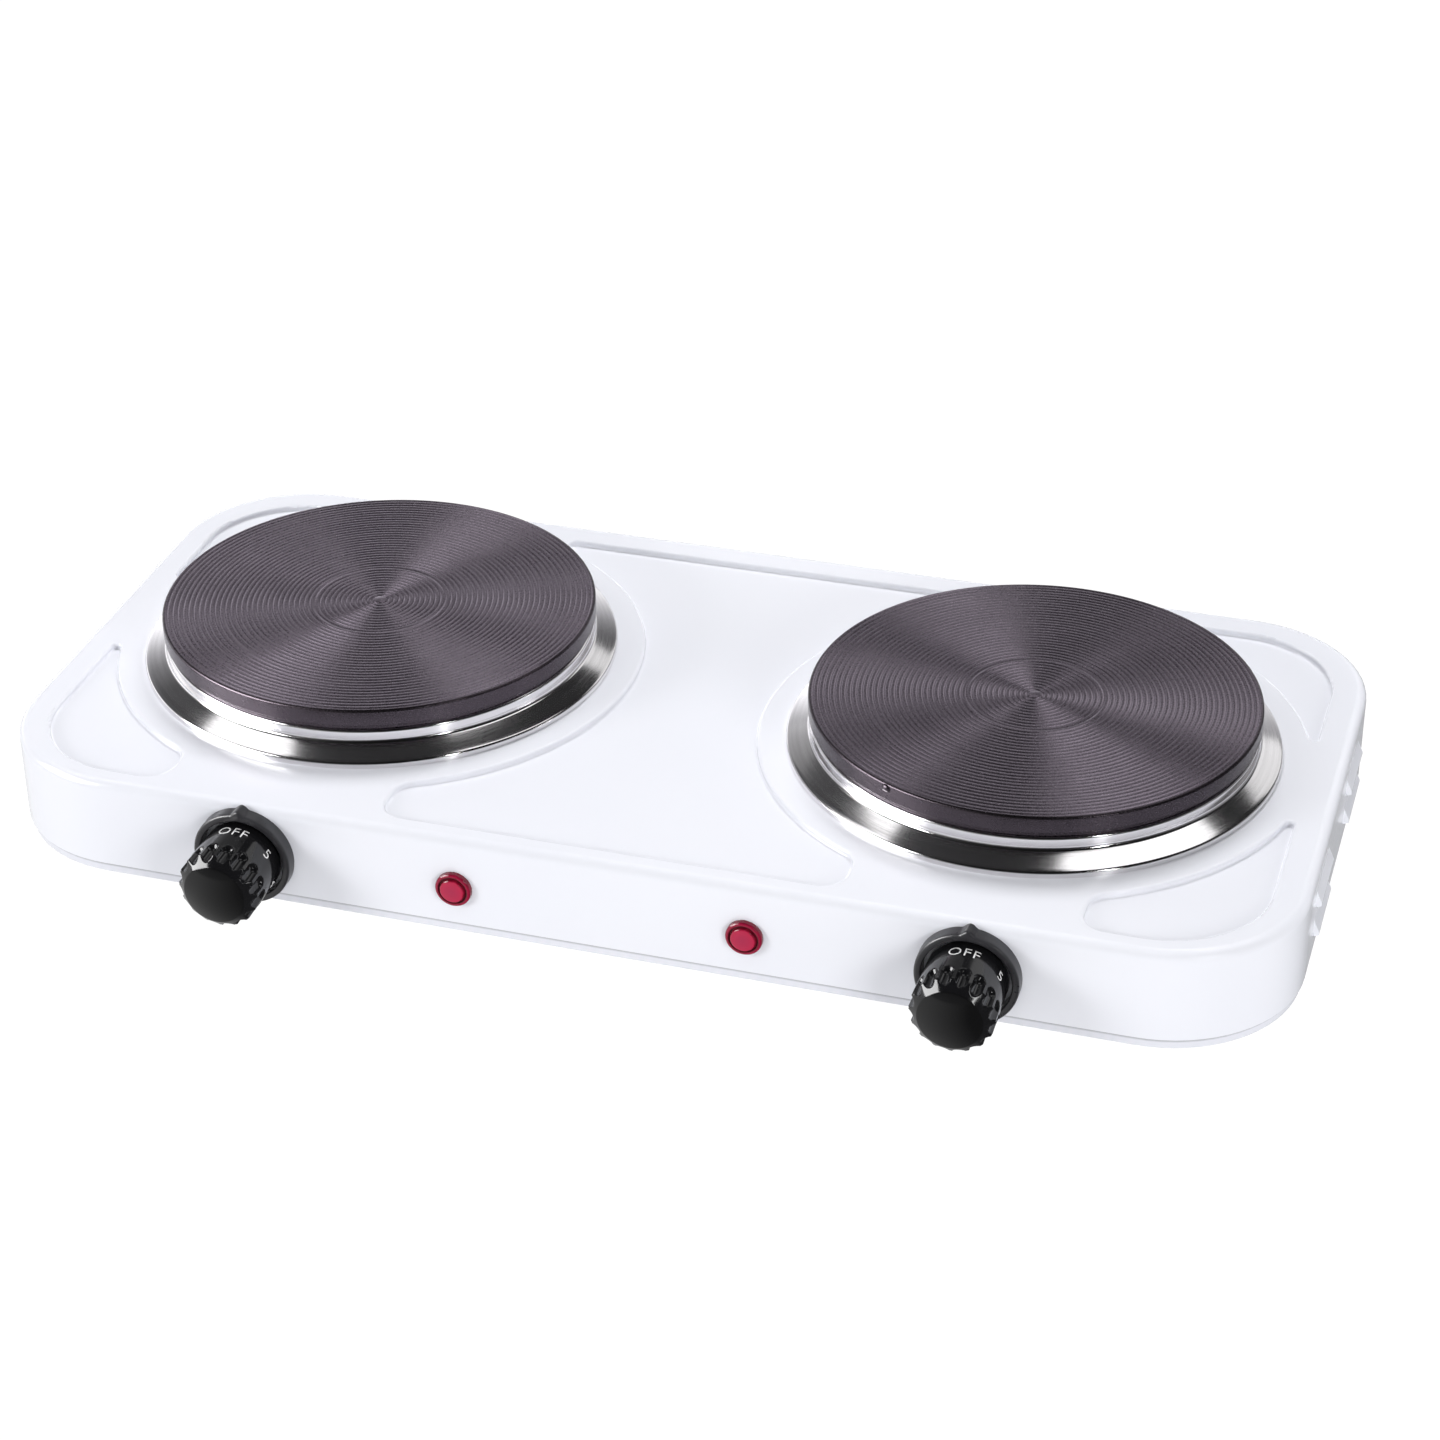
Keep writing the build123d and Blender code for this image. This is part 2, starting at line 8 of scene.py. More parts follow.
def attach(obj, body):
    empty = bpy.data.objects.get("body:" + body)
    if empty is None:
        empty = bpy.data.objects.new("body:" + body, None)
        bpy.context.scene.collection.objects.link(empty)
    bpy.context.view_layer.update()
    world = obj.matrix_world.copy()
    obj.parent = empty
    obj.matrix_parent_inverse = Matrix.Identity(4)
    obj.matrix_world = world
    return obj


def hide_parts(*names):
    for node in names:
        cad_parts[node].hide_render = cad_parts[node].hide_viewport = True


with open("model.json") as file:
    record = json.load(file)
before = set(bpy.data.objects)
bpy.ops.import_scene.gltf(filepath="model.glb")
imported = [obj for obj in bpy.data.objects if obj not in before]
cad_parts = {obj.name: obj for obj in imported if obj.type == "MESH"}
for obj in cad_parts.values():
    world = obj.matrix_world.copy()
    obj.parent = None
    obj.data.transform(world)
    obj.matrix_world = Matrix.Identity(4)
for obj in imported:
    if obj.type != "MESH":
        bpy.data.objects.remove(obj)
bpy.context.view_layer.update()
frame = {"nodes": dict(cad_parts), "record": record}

nodes = frame["nodes"]
MM = 0.001

# ------------------------------------------------------------------ where things are (row frame, mm)
Y0 = 13.0                      # the body's middle in this frame
Z_DECK = 45.0
FRONT = -110.0 + Y0
BURNER = {"left": (-120.0, 4.0 + Y0), "right": (120.0, 4.0 + Y0)}
KNOB = {"left": (-125.0, FRONT, 26.6), "right": (125.0, FRONT, 26.6)}
LAMP = {"left": (-50.3, FRONT, 26.0), "right": (50.3, FRONT, 26.0)}
PLATE_TOP, PLATE_R, PLATE_EDGE = 63.5, 77.5, 7.2
GROOVES, PITCH, GROOVE_D = 40, 1.87, 0.42
z_sh = PLATE_TOP - PLATE_EDGE


# ------------------------------------------------------------------ node helpers
class Nodes:
    """Short-hand for building a node material."""

    def __init__(self, name):
        self.mat = bpy.data.materials.new(name)
        self.mat.use_nodes = True
        self.tree = self.mat.node_tree
        self.bsdf = next(n for n in self.tree.nodes if n.type == "BSDF_PRINCIPLED")

    def add(self, kind, **props):
        n = self.tree.nodes.new(kind)
        for k, v in props.items():
            setattr(n, k, v)
        return n

    def link(self, a, b):
        self.tree.links.new(a, b)

    def feed(self, socket, value):
        if isinstance(value, bpy.types.NodeSocket):
            self.link(value, socket)
        else:
            socket.default_value = value

    def coords(self):
        return self.add("ShaderNodeTexCoord").outputs["Object"]

    def mapping(self, vec, loc=(0, 0, 0), scale=(1, 1, 1), rot=(0, 0, 0)):
        m = self.add("ShaderNodeMapping")
        self.link(vec, m.inputs["Vector"])
        m.inputs["Location"].default_value = loc
        m.inputs["Rotation"].default_value = rot
        m.inputs["Scale"].default_value = scale
        return m.outputs["Vector"]

    def noise(self, vec, scale, detail=3.0, rough=0.55, dist=0.0):
        n = self.add("ShaderNodeTexNoise")
        self.link(vec, n.inputs["Vector"])
        n.inputs["Scale"].default_value = scale
        n.inputs["Detail"].default_value = detail
        n.inputs["Roughness"].default_value = rough
        n.inputs["Distortion"].default_value = dist
        return n.outputs["Fac"]

    def voronoi(self, vec, scale, feature="F1", out="Distance", rand=1.0):
        n = self.add("ShaderNodeTexVoronoi", feature=feature)
        self.link(vec, n.inputs["Vector"])
        n.inputs["Scale"].default_value = scale
        n.inputs["Randomness"].default_value = rand
        return n.outputs[out]

    def math(self, op, a, b=0.0, clamp=False):
        n = self.add("ShaderNodeMath", operation=op, use_clamp=clamp)
        self.feed(n.inputs[0], a)
        self.feed(n.inputs[1], b)
        return n.outputs[0]

    def ramp(self, fac, stops, mode="LINEAR"):
        n = self.add("ShaderNodeValToRGB")
        n.color_ramp.interpolation = mode
        els = n.color_ramp.elements
        while len(els) > 1:
            els.remove(els[-1])
        els[0].position = stops[0][0]
        els[0].color = self.rgba(stops[0][1])
        for p, c in stops[1:]:
            e = els.new(p)
            e.color = self.rgba(c)
        self.link(fac, n.inputs["Fac"])
        return n.outputs["Color"]

    @staticmethod
    def rgba(c):
        if isinstance(c, (int, float)):
            return (c, c, c, 1.0)
        return (c[0], c[1], c[2], 1.0)

    def span(self, fac, lo, hi, a=0.0, b=1.0):
        n = self.add("ShaderNodeMapRange")
        self.feed(n.inputs["Value"], fac)
        n.inputs["From Min"].default_value = a
        n.inputs["From Max"].default_value = b
        n.inputs["To Min"].default_value = lo
        n.inputs["To Max"].default_value = hi
        return n.outputs["Result"]

    def mix(self, fac, a, b, blend="MIX"):
        n = self.add("ShaderNodeMix", data_type="RGBA", blend_type=blend)
        self.feed(n.inputs[0], fac)
        self.feed(n.inputs[6], a if isinstance(a, bpy.types.NodeSocket) else self.rgba(a))
        self.feed(n.inputs[7], b if isinstance(b, bpy.types.NodeSocket) else self.rgba(b))
        return n.outputs[2]

    def bump(self, height, strength, distance, normal=None):
        n = self.add("ShaderNodeBump")
        n.inputs["Strength"].default_value = strength
        n.inputs["Distance"].default_value = distance
        self.link(height, n.inputs["Height"])
        if normal is not None:
            self.link(normal, n.inputs["Normal"])
        return n.outputs["Normal"]

    def polar(self, vec, cx, cy):
        """(radius, angle, z) about a vertical axis, in metres and radians."""
        s = self.add("ShaderNodeSeparateXYZ")
        self.link(vec, s.inputs[0])
        x = self.math("SUBTRACT", s.outputs[0], cx)
        y = self.math("SUBTRACT", s.outputs[1], cy)
        r = self.math("SQRT", self.math("ADD", self.math("MULTIPLY", x, x), self.math("MULTIPLY", y, y)))
        return r, self.math("ARCTAN2", y, x), s.outputs[2]

    def combine(self, x, y, z):
        c = self.add("ShaderNodeCombineXYZ")
        self.feed(c.inputs[0], x)
        self.feed(c.inputs[1], y)
        self.feed(c.inputs[2], z)
        return c.outputs[0]

    def set(self, **kw):
        names = {"color": "Base Color", "metal": "Metallic", "rough": "Roughness", "ior": "IOR", "normal": "Normal", "spec": "Specular IOR Level",
                 "coat": "Coat Weight", "coat_rough": "Coat Roughness", "aniso": "Anisotropic", "trans": "Transmission Weight", "sss": "Subsurface Weight",
                 "sss_radius": "Subsurface Radius", "sss_scale": "Subsurface Scale", "sheen": "Sheen Weight", "alpha": "Alpha"}
        for k, v in kw.items():
            sock = self.bsdf.inputs[names[k]]
            if isinstance(v, bpy.types.NodeSocket):
                self.link(v, sock)
            elif k in ("color",):
                sock.default_value = self.rgba(v)
            else:
                sock.default_value = v
        return self.mat


# ------------------------------------------------------------------ materials
def make_enamel(name="white_enamel", seam_shade_band=None):
    n = Nodes(name)
    p = n.coords()
    tone = n.noise(p, 9.0, 3.0)
    fine = n.noise(p, 900.0, 2.0)
    peel = n.noise(p, 420.0, 2.0, 0.5)
    color = n.ramp(tone, [(0.3, (0.800, 0.812, 0.872)), (0.7, (0.816, 0.826, 0.880))])
    # Painted shade: the pan's white is dimmed to 0.93 overall and turns dark grey in a thin band just below the
    # housing's lower edge, standing in for the shade in the seam.
    if seam_shade_band:
        s = n.add("ShaderNodeSeparateXYZ")
        n.link(p, s.inputs[0])
        seam_shade = n.span(n.math("ADD", s.outputs[2], n.math("MULTIPLY", n.math("SUBTRACT", fine, 0.5), 0.0002)), 0.0, 1.0, seam_shade_band[0] * MM, seam_shade_band[1] * MM)
        color = n.mix(seam_shade, n.mix(1.0, color, (0.93, 0.93, 0.94), "MULTIPLY"), (0.40, 0.40, 0.43))
    rough = n.span(fine, 0.15, 0.19, 0.3, 0.7)
    return n.set(color=color, rough=rough, normal=n.bump(peel, 0.015, 0.00003), spec=0.5)


def make_iron(name, cx, cy, painted_shade_tone=1.0):
    n = Nodes(name)
    p = n.coords()
    r, a, z = n.polar(p, cx, cy)
    turned = n.noise(n.combine(n.math("MULTIPLY", r, 3200.0), n.math("MULTIPLY", a, 0.7), 0.0), 1.0, 4.0, 0.6)
    cloud = n.noise(p, 30.0, 4.0, 0.6)
    grain = n.noise(p, 1900.0, 3.0, 0.65)
    pits = n.voronoi(p, 1300.0)
    tone = n.math("ADD", n.math("MULTIPLY", turned, 0.55), n.math("MULTIPLY", cloud, 0.45))
    stops = [(0.30, (0.220, 0.184, 0.227)), (0.52, (0.292, 0.247, 0.300)), (0.72, (0.380, 0.326, 0.391))]
    # The colour is scaled by the last argument; below 1 it paints shade over the whole plate.
    color = n.ramp(tone, [(at, tuple(c * painted_shade_tone for c in rgb)) for at, rgb in stops])
    color = n.mix(n.span(grain, 0.0, 0.35, 0.35, 0.75), color, tuple(c * painted_shade_tone for c in (0.398, 0.341, 0.409)))
    # Painted shade: the side band below the top and the rounded rim edge get a much darker metal colour (x0.28),
    # dimming the side and the rim's reflection.
    painted_side_shade = n.span(z, 1.0, 0.0, (PLATE_TOP - 1.6) * MM, (PLATE_TOP - 0.7) * MM)
    painted_side_shade = n.math("MAXIMUM", painted_side_shade, n.span(r, 0.0, 1.0, (PLATE_R - 1.0) * MM, (PLATE_R - 0.6) * MM))
    color = n.mix(painted_side_shade, color, n.mix(1.0, color, (0.28, 0.275, 0.267), "MULTIPLY"))
    rough = n.span(n.math("ADD", n.math("MULTIPLY", grain, 0.6), n.math("MULTIPLY", turned, 0.4)), 0.23, 0.34, 0.3, 0.7)
    h = n.math("ADD", n.math("MULTIPLY", grain, 0.6), n.math("MULTIPLY", pits, 0.7))
    bump = n.bump(h, 0.07, 0.00008, n.bump(turned, 0.07, 0.00006))
    return n.set(color=color, metal=0.98, rough=rough, normal=bump, spec=0.5)


def make_stainless(name, cx, cy):
    n = Nodes(name)
    p = n.coords()
    r, a, z = n.polar(p, cx, cy)
    streak = n.noise(n.combine(n.math("MULTIPLY", r, 5200.0), n.math("MULTIPLY", a, 2.2), n.math("MULTIPLY", z, 5200.0)), 1.0, 3.0, 0.6)
    wide = n.noise(n.combine(n.math("MULTIPLY", r, 700.0), n.math("MULTIPLY", a, 1.2), n.math("MULTIPLY", z, 700.0)), 1.0, 2.0)
    color = n.ramp(wide, [(0.3, (0.76, 0.745, 0.755)), (0.7, (0.84, 0.825, 0.835))])
    rough = n.span(streak, 0.09, 0.17, 0.3, 0.7)
    return n.set(color=color, metal=1.0, rough=rough, normal=n.bump(streak, 0.07, 0.00003))


def make_black(name, lo, hi, tint=(0.0125, 0.0125, 0.0138), bump=0.05, scale=700.0, spec=0.5):
    n = Nodes(name)
    p = n.coords()
    fine = n.noise(p, scale, 3.0)
    cloud = n.noise(p, 60.0, 3.0)
    color = n.ramp(cloud, [(0.3, tint), (0.75, tuple(c * 1.35 for c in tint))])
    rough = n.span(n.math("ADD", n.math("MULTIPLY", fine, 0.5), n.math("MULTIPLY", cloud, 0.5)), lo, hi, 0.35, 0.65)
    return n.set(color=color, rough=rough, normal=n.bump(fine, bump, 0.00004), spec=spec)


def make_print():
    n = Nodes("white_print")
    p = n.coords()
    wear = n.noise(p, 1500.0, 3.0, 0.6)
    color = n.ramp(wear, [(0.3, (0.66, 0.66, 0.67)), (0.6, (0.86, 0.86, 0.86))])
    return n.set(color=color, rough=n.span(wear, 0.40, 0.60), normal=n.bump(wear, 0.08, 0.00003))


def make_lens(name, cx, cz):
    n = Nodes(name)
    p = n.coords()
    flat = n.add("ShaderNodeSeparateXYZ")
    n.link(p, flat.inputs[0])
    x = n.math("SUBTRACT", flat.outputs[0], cx)
    z = n.math("SUBTRACT", flat.outputs[2], cz)
    r = n.math("SQRT", n.math("ADD", n.math("MULTIPLY", x, x), n.math("MULTIPLY", z, z)))
    swirl = n.noise(p, 520.0, 2.0, 0.5, 0.6)
    groove_shade_wobble = n.noise(n.combine(n.math("MULTIPLY", n.math("ARCTAN2", z, x), 1.1), 0.0, 0.0), 1.7, 2.0)
    k = n.math("ADD", n.math("MULTIPLY", r, 1000.0 / 6.4), n.math("MULTIPLY", n.math("SUBTRACT", swirl, 0.5), 0.10))
    k = n.math("ADD", k, n.math("MULTIPLY", n.math("SUBTRACT", groove_shade_wobble, 0.5), 0.10))
    # Painted shade: the ramp's dark band (0.66 to 0.80, about 4.2 to 5.1 mm out) lies over the groove between the
    # raised disc and the flange, made uneven around the ring by an angular noise added to the radius.
    color = n.ramp(k, [(0.00, (0.40, 0.018, 0.070)), (0.40, (0.46, 0.018, 0.070)), (0.60, (0.50, 0.016, 0.066)), (0.66, (0.24, 0.004, 0.022)), (0.73, (0.060, 0.001, 0.006)),
                       (0.80, (0.16, 0.003, 0.016)), (0.88, (0.36, 0.010, 0.048)), (1.00, (0.16, 0.003, 0.018))])
    rough = n.span(swirl, 0.05, 0.11, 0.3, 0.7)
    return n.set(color=color, rough=rough, trans=0.12, ior=1.49, spec=0.5, normal=n.bump(swirl, 0.05, 0.00005))


def make_metal(name, dark, light, lo, hi, scale=350.0, stretch=(1, 1, 1), bump=0.08, spangle=False):
    n = Nodes(name)
    p = n.mapping(n.coords(), scale=stretch)
    fine = n.noise(p, scale, 4.0, 0.6)
    cloud = n.voronoi(p, 90.0, out="Color") if spangle else n.noise(p, 45.0, 3.0)
    if spangle:
        bw = n.add("ShaderNodeRGBToBW")
        n.link(cloud, bw.inputs[0])
        cloud = bw.outputs[0]
    mixv = n.math("ADD", n.math("MULTIPLY", fine, 0.5), n.math("MULTIPLY", cloud, 0.5))
    color = n.ramp(mixv, [(0.3, dark), (0.7, light)])
    return n.set(color=color, metal=1.0, rough=n.span(mixv, lo, hi, 0.3, 0.7), normal=n.bump(fine, bump, 0.00005))


def make_dull(name, dark, light, lo, hi, scale=500.0, bump=0.12, depth=0.00008):
    n = Nodes(name)
    p = n.coords()
    fine = n.noise(p, scale, 4.0, 0.6)
    cloud = n.noise(p, scale * 0.12, 3.0)
    mixv = n.math("ADD", n.math("MULTIPLY", fine, 0.55), n.math("MULTIPLY", cloud, 0.45))
    return n.set(color=n.ramp(mixv, [(0.32, dark), (0.68, light)]), rough=n.span(mixv, lo, hi, 0.3, 0.7), normal=n.bump(fine, bump, depth))


def make_glass():
    n = Nodes("lamp_glass")
    p = n.coords()
    f = n.noise(p, 300.0, 2.0)
    return n.set(color=n.ramp(f, [(0.3, (0.90, 0.62, 0.52)), (0.7, (0.96, 0.74, 0.64))]), rough=n.span(f, 0.02, 0.06), trans=0.9, ior=1.5)


def make_earth_wire():
    n = Nodes("wire_green")
    p = n.coords()
    s = n.add("ShaderNodeSeparateXYZ")
    n.link(p, s.inputs[0])
    stripe = n.math("GREATER_THAN", n.math("SINE", n.math("MULTIPLY", n.math("ADD", s.outputs[0], n.math("MULTIPLY", s.outputs[2], 0.4)), 2600.0)), 0.25)
    fine = n.noise(p, 700.0, 3.0)
    color = n.mix(stripe, (0.55, 0.50, 0.03), (0.06, 0.26, 0.05))
    return n.set(color=color, rough=n.span(fine, 0.40, 0.55), normal=n.bump(fine, 0.06, 0.00004))


M = {
    "white_enamel": make_enamel(),
    # The base pan's enamel, with painted shade at the seam under the housing.
    "white_enamel_pan": make_enamel("white_enamel_pan", (10.3, 11.1)),
    "cast_iron_left": make_iron("cast_iron_left", BURNER["left"][0] * MM, BURNER["left"][1] * MM),
    # Painted shade: the right plate is a darker copy of the same iron (0.80).
    "cast_iron_right": make_iron("cast_iron_right", BURNER["right"][0] * MM, BURNER["right"][1] * MM, 0.80),
    "stainless_left": make_stainless("stainless_left", BURNER["left"][0] * MM, BURNER["left"][1] * MM),
    "stainless_right": make_stainless("stainless_right", BURNER["right"][0] * MM, BURNER["right"][1] * MM),
    "black_gloss": make_black("black_gloss", 0.07, 0.13, (0.006, 0.006, 0.0068), 0.03, spec=0.5),
    # Painted shade: the knob's front face gets a darker, less reflective copy of the knob black.
    "black_face": make_black("black_face", 0.09, 0.15, (0.004, 0.004, 0.0043), 0.04, 1400.0, spec=0.40),
    "black_satin": make_black("black_satin", 0.26, 0.38, (0.022, 0.0218, 0.0250), 0.10, 1100.0, spec=0.7),
    "white_print": make_print(),
    "red_lens_left": make_lens("red_lens_left", LAMP["left"][0] * MM, LAMP["left"][2] * MM),
    "red_lens_right": make_lens("red_lens_right", LAMP["right"][0] * MM, LAMP["right"][2] * MM),
    "lamp_glass": make_glass(),
    "zinc_steel": make_metal("zinc_steel", (0.50, 0.51, 0.53), (0.68, 0.69, 0.71), 0.30, 0.48, spangle=True),
    "screw_steel": make_metal("screw_steel", (0.55, 0.55, 0.56), (0.74, 0.74, 0.75), 0.22, 0.40),
    "brass": make_metal("brass", (0.62, 0.44, 0.17), (0.80, 0.62, 0.30), 0.24, 0.42),
    "heater_alloy": make_metal("heater_alloy", (0.16, 0.14, 0.13), (0.28, 0.26, 0.25), 0.45, 0.65),
    "rubber": make_dull("rubber", (0.018, 0.018, 0.019), (0.034, 0.034, 0.036), 0.68, 0.86, 900.0, 0.25, 0.00012),
    "ivory_plastic": make_dull("ivory_plastic", (0.66, 0.60, 0.46), (0.74, 0.68, 0.54), 0.40, 0.55),
    "ceramic": make_dull("ceramic", (0.72, 0.68, 0.59), (0.82, 0.79, 0.70), 0.45, 0.62),
    "brown_bakelite": make_dull("brown_bakelite", (0.070, 0.030, 0.014), (0.120, 0.058, 0.028), 0.20, 0.36),
    "insulation": make_dull("insulation", (0.58, 0.53, 0.43), (0.70, 0.65, 0.55), 0.80, 0.95, 700.0, 0.5, 0.0003),
    "wire_brown": make_dull("wire_brown", (0.080, 0.032, 0.014), (0.120, 0.052, 0.024), 0.38, 0.52),
    "wire_blue": make_dull("wire_blue", (0.012, 0.050, 0.240), (0.022, 0.080, 0.320), 0.38, 0.52),
    "wire_green": make_earth_wire(),
    "wire_white": make_dull("wire_white", (0.66, 0.66, 0.63), (0.76, 0.76, 0.73), 0.42, 0.58),
}

slot_of = {s["node"]: s["material_slot"] for s in frame["record"]["subparts"]}
for name, obj in nodes.items():
    slot = slot_of[name]
    side = "left" if name.startswith("left_") else "right"
    key = f"{slot}_{side}" if f"{slot}_{side}" in M else slot
    key = "white_enamel_pan" if name == "base_plate" else key
    obj.data.materials.clear()
    obj.data.materials.append(M[key])


# ------------------------------------------------------------------ mesh helpers
def finish_piece(name, bm, mats, body, stands_for=(), smooth_deg=38.0):
    bmesh.ops.recalc_face_normals(bm, faces=bm.faces)
    me = bpy.data.meshes.new(name)
    bm.to_mesh(me)
    bm.free()
    for m in mats:
        me.materials.append(m)
    obj = bpy.data.objects.new(name, me)
    bpy.context.scene.collection.objects.link(obj)
    me.shade_smooth()
    me.set_sharp_from_angle(angle=math.radians(smooth_deg))
    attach(obj, body)
    if stands_for:
        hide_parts(*stands_for)
    return obj


def arc(cx, cy, r, a0, a1, n):
    return [(cx + r * math.cos(math.radians(a0 + (a1 - a0) * i / n)), cy + r * math.sin(math.radians(a0 + (a1 - a0) * i / n))) for i in range(n + 1)]


def lathe(profile, count, place, shape=None, closed=False):
    """Rings of vertices from (radius, height) pairs. place(r, angle, h) gives the point in mm; shape may change the radius by angle and station."""
    bm = bmesh.new()
    rings = []
    for k, (r, h) in enumerate(profile):
        if r < 1e-6:
            rings.append([bm.verts.new(Vector(place(0.0, 0.0, h)) * MM)])
            continue
        ring = []
        for i in range(count):
            t = 2 * math.pi * i / count
            rr, hh = (r, h) if shape is None else shape(k, r, h, t)
            ring.append(bm.verts.new(Vector(place(rr, t, hh)) * MM))
        rings.append(ring)
    pairs = list(zip(rings[:-1], rings[1:]))
    if closed:
        pairs.append((rings[-1], rings[0]))
    for a, b in pairs:
        for i in range(count):
            j = (i + 1) % count
            if len(a) == 1 and len(b) == 1:
                continue
            if len(a) == 1:
                bm.faces.new((a[0], b[i], b[j]))
            elif len(b) == 1:
                bm.faces.new((a[i], b[0], a[j]))
            else:
                bm.faces.new((a[i], b[i], b[j], a[j]))
    return bm, rings


def up_at(cx, cy):
    return lambda r, t, h: (cx + r * math.cos(t), cy + r * math.sin(t), h)


def out_at(cx, cy, cz):
    """Axis along Y: h runs inwards from the front wall's face, angle 0 is +X and 90 degrees is up."""
    return lambda r, t, h: (cx + r * math.cos(t), cy + h, cz + r * math.sin(t))


# ------------------------------------------------------------------ hot plates


def plate_profile():
    pts = [(0.0, PLATE_TOP)]
    r = 2.4
    for i in range(GROOVES):
        d = GROOVE_D * (0.40 if i == 11 else 0.90)
        pts += [(r - 0.05, PLATE_TOP), (r + 0.01, PLATE_TOP - 0.03), (r + 0.43, PLATE_TOP - d), (r + 0.53, PLATE_TOP - d), (r + 0.95, PLATE_TOP - 0.03), (r + 1.01, PLATE_TOP)]
        r += PITCH
    pts += arc(PLATE_R - 0.9, PLATE_TOP - 0.9, 0.9, 90, 0, 8)
    pts += [(PLATE_R, z_sh + 1.5)] + arc(PLATE_R - 0.3, z_sh + 1.3, 0.3, 0, -70, 4) + [(PLATE_R - 1.5, z_sh + 0.75), (PLATE_R - 1.6, z_sh - 0.9)]
    pts += [(73.0, z_sh - 0.9), (73.0, 47.0), (67.0, 47.0), (67.0, 55.0), (13.0, 55.0), (13.0, 46.0), (3.0, 46.0), (3.0, 53.0), (0.0, 53.0)]
    return pts


for side, (cx, cy) in BURNER.items():
    bm, rings = lathe(plate_profile(), 320, up_at(cx, cy))
    finish_piece(f"{side}_grooved_plate", bm, [M[f"cast_iron_{side}"]], "body", [f"{side}_hot_plate"], 50.0)


def build_nub():
    """Small casting nub left on the rim of the right plate."""
    cx, cy = BURNER["right"]
    a0 = math.radians(-116.5)
    bm = bmesh.new()
    rings = []
    stations = 14
    for k in range(stations + 1):
        f = k / stations
        rad = math.sin(math.pi * f * 0.5)
        lift = math.cos(math.pi * f * 0.5)
        ring = []
        for i in range(28):
            t = 2 * math.pi * i / 28
            u = 2.0 * rad * math.cos(t)
            w = 1.4 * rad * math.sin(t)
            r = PLATE_R - 0.35 + 1.15 * lift
            a = a0 + u / PLATE_R
            ring.append(bm.verts.new(Vector((cx + r * math.cos(a), cy + r * math.sin(a), PLATE_TOP - 1.7 + w)) * MM))
            if k == 0:
                break
        rings.append(ring)
    for ra, rb in zip(rings[:-1], rings[1:]):
        for i in range(28):
            j = (i + 1) % 28
            if len(ra) == 1:
                bm.faces.new((ra[0], rb[i], rb[j]))
            else:
                bm.faces.new((ra[i], rb[i], rb[j], ra[j]))
    bm.faces.new(rings[-1][::-1])
    return finish_piece("right_plate_nub", bm, [M["cast_iron_right"]], "body", (), 60.0)


build_nub()


# ------------------------------------------------------------------ trim rings
def ring_profile():
    t = 0.6
    top = [(73.6, z_sh - 0.9)] + arc(75.8, z_sh - 2.0, 1.1, 90, 0, 6)
    outer = top + [(76.9, 51.83)] + arc(78.5, 51.83, 1.6, 180, 245, 10) + [(83.4, 47.78)] + arc(83.85, 46.30, 1.15, 65, 0, 7) + [(85.0, 45.0)]
    inner = [(84.4, 45.0)] + arc(83.85, 46.30, 0.55, 0, 65, 5) + [(82.95, 47.33)] + arc(78.5, 51.83, 2.2, 245, 180, 10) + arc(75.8, z_sh - 2.0, 0.5, 0, 90, 3) + [(73.6, z_sh - 0.9 - t)]
    return outer + inner


for side, (cx, cy) in BURNER.items():
    bm, rings = lathe(ring_profile(), 320, up_at(cx, cy), closed=True)
    finish_piece(f"{side}_stainless_ring", bm, [M[f"stainless_{side}"]], "body", [f"{side}_trim_ring"], 60.0)


# ------------------------------------------------------------------ knobs
SCOOPS = 16
KNOB_R, TIP_R = 13.7, 14.2


def smin(a, b, k):
    h = max(0.0, min(1.0, 0.5 + 0.5 * (b - a) / k))
    return b * (1 - h) + a * h - k * h * (1 - h)


def knob_side_r(v):
    if v > -9.0:
        return KNOB_R
    return KNOB_R + (TIP_R - KNOB_R) * min(1.0, (-9.0 - v) / 18.2)


def scooped(r, v, t):
    """Radius after the ball-ended scoops, which start half way along the grip."""
    rc, ra, vc = 2.2, 14.5, -19.5
    phi = ((t * SCOOPS / (2 * math.pi)) % 1.0 - 0.5) * 2 * math.pi / SCOOPS
    q = rc * rc - (ra * math.sin(phi)) ** 2 - max(v - vc, 0.0) ** 2
    cut = ra * math.cos(phi) - math.sqrt(max(q, 0.0))
    return smin(r, cut, 0.6)


def knob_mesh():
    outer = [(12.9, -2.0), (13.3, -2.05), (13.6, -2.3), (KNOB_R, -2.7)]
    outer += [(knob_side_r(v), v) for v in (-4.0, -5.5, -7.0, -8.5)]
    outer += [(knob_side_r(-9.5 - 0.47 * i), -9.5 - 0.47 * i) for i in range(0, 31)]
    n_flat = len(outer)
    r0, v0 = outer[-1]
    bevel = [(r0 - 0.05, v0 - 0.16), (r0 - 0.16, v0 - 0.30)] + [(r0 - 0.30 - 3.0 * i / 16, v0 - 0.46 - 2.9 * i / 16) for i in range(0, 17)]
    rb, vb = bevel[-1]
    crease = [(rb - 0.12, vb - 0.10), (rb - 0.28, vb - 0.19), (rb - 0.46, vb - 0.27)]
    r1, v1 = crease[-1]
    dome = [(r1 * (1 - i / 14), v1 - (29.5 + v1) * (1 - (1 - i / 14) ** 2)) for i in range(1, 15)]
    profile = outer + bevel + crease + dome

    def shape(k, r, v, t):
        if k < 4 or k >= n_flat + len(bevel):
            return r, v
        return scooped(r, v, t), v

    inner = [(12.2, -2.0), (12.2, -10.0), (10.2, -11.0), (10.2, -23.5), (5.4, -23.5), (5.4, -5.3), (3.02, -5.3), (3.02, -19.1), (0.0, -19.1)]
    return profile[::-1], shape, inner


